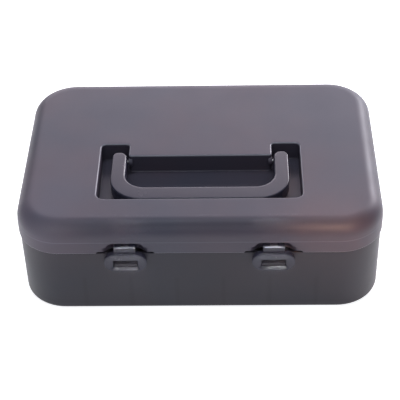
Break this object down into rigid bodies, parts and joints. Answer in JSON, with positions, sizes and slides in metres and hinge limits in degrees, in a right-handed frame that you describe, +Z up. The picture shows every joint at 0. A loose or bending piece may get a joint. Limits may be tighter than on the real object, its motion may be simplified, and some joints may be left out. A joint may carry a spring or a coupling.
{
  "type": "toolbox with tray",
  "caption": "Flat moulded plastic toolbox with rounded corners, a folding handle sunk in its hinged lid, front snap latches and a divided lift-out tray.",
  "frame": {"origin": "middle of the underside, on the surface the case stands on, under the middle of its outer box", "axes": "+X to the right as seen from the latches, +Y from the latches to the hinges, +Z up"},
  "size_m": [0.29, 0.205, 0.0885],
  "materials": {
    "base_plastic": "satin moulded polypropylene, dark violet grey",
    "lid_plastic": "satin moulded polypropylene, violet grey",
    "fitting_plastic": "satin moulded polypropylene, violet grey",
    "tray_plastic": "satin moulded polypropylene, lighter grey",
    "pin_steel": "drawn steel wire"
  },
  "bodies": {
    "base": {"base": "base_plastic", "base_divider_left": "tray_plastic", "base_divider_right": "tray_plastic", "hinge_pin_left": "pin_steel", "hinge_pin_right": "pin_steel"},
    "lid": {"lid": "lid_plastic", "handle_pin_left": "pin_steel", "handle_pin_right": "pin_steel", "latch_pin_left": "pin_steel", "latch_pin_right": "pin_steel"},
    "handle": {"handle": "fitting_plastic"},
    "latch_left": {"latch_left": "fitting_plastic"},
    "latch_right": {"latch_right": "fitting_plastic"},
    "tray": {"tray": "tray_plastic", "tray_divider_1": "tray_plastic", "tray_divider_2": "tray_plastic", "tray_divider_3": "tray_plastic", "tray_divider_4": "tray_plastic"}
  },
  "joints": [
    {"name": "lid_hinge", "type": "hinge", "parent": "base", "child": "lid", "pos_m": [0, 0.0995, 0.06125], "axis": [-1, 0, 0], "range_deg": [0, 105]},
    {"name": "handle_pivot", "type": "hinge", "parent": "lid", "child": "handle", "pos_m": [0, -0.0085, 0.0815], "axis": [-1, 0, 0], "range_deg": [0, 130]},
    {"name": "latch_left_pivot", "type": "hinge", "parent": "lid", "child": "latch_left", "pos_m": [-0.0578, -0.0956, 0.0668], "axis": [-1, 0, 0], "range_deg": [0, 90]},
    {"name": "latch_right_pivot", "type": "hinge", "parent": "lid", "child": "latch_right", "pos_m": [0.0578, -0.0956, 0.0668], "axis": [-1, 0, 0], "range_deg": [0, 90]},
    {"name": "tray_lift", "type": "slide", "parent": "base", "child": "tray", "axis": [0, 0, 1], "range_m": [0, 0.006]}
  ]
}
